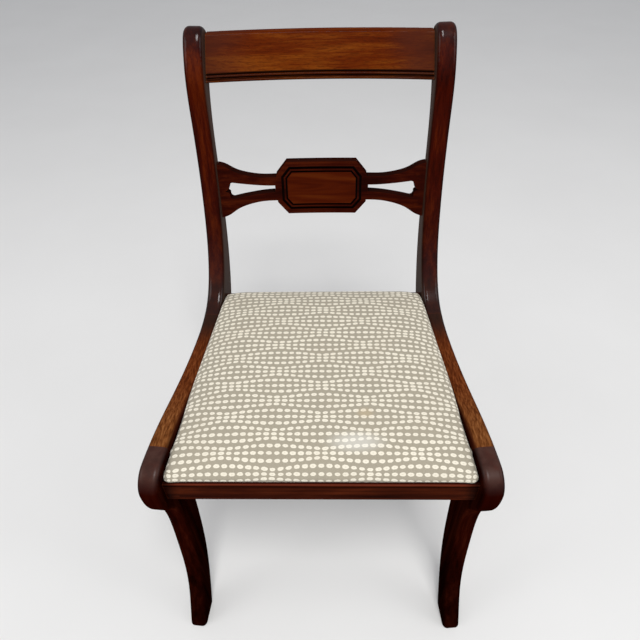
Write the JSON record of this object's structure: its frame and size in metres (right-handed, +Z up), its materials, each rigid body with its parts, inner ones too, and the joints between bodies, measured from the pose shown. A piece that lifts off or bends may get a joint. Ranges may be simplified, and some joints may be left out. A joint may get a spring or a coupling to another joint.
{
  "type": "dining side chair",
  "caption": "Dining side chair with sabre legs, scrolled back posts, a reeded crest rail, a pierced cross rail with an octagonal tablet, and a padded seat that lifts out of its frame.",
  "frame": {"origin": "middle of the floor under the chair, at the centre of its outline seen from above", "axes": "+X to the right seen from the front, +Y to the back, +Z up"},
  "size_m": [0.4808, 0.5576, 0.838],
  "materials": {
    "mahogany": "polished, worn on top",
    "figured_mahogany": "polished",
    "plain_hardwood": "bare",
    "dotted_fabric": "woven, matt",
    "padding": "soft",
    "webbing": "woven, matt",
    "hessian": "coarse weave",
    "dust_cloth": "matt",
    "steel": "plain"
  },
  "bodies": {
    "frame": {"left_back_post": "mahogany", "right_back_post": "mahogany", "left_side_rail": "mahogany", "right_side_rail": "mahogany", "left_front_leg": "mahogany", "right_front_leg": "mahogany", "front_rail": "mahogany", "rear_rail": "mahogany", "crest_rail": "figured_mahogany", "cross_rail": "figured_mahogany", "left_front_corner_block": "plain_hardwood", "right_front_corner_block": "plain_hardwood", "left_rear_corner_block": "plain_hardwood", "right_rear_corner_block": "plain_hardwood", "corner_block_screws": "steel", "front_rail_dowels": "plain_hardwood", "rear_rail_dowels": "plain_hardwood", "crest_rail_dowels": "plain_hardwood", "cross_rail_dowels": "plain_hardwood", "leg_joint_dowels": "plain_hardwood", "post_joint_dowels": "plain_hardwood"},
    "seat": {"seat_front_rail": "plain_hardwood", "seat_rear_rail": "plain_hardwood", "left_seat_side_rail": "plain_hardwood", "right_seat_side_rail": "plain_hardwood", "seat_frame_dowels": "plain_hardwood", "seat_webbing": "webbing", "seat_hessian": "hessian", "seat_pad": "padding", "seat_cover": "dotted_fabric", "seat_dust_cover": "dust_cloth", "cover_tacks": "steel", "dust_cover_tacks": "steel"}
  },
  "joints": [
    {"name": "seat_lift", "type": "slide", "parent": "frame", "child": "seat", "axis": [0, 0, 1], "range_m": [0, 0.2]}
  ]
}
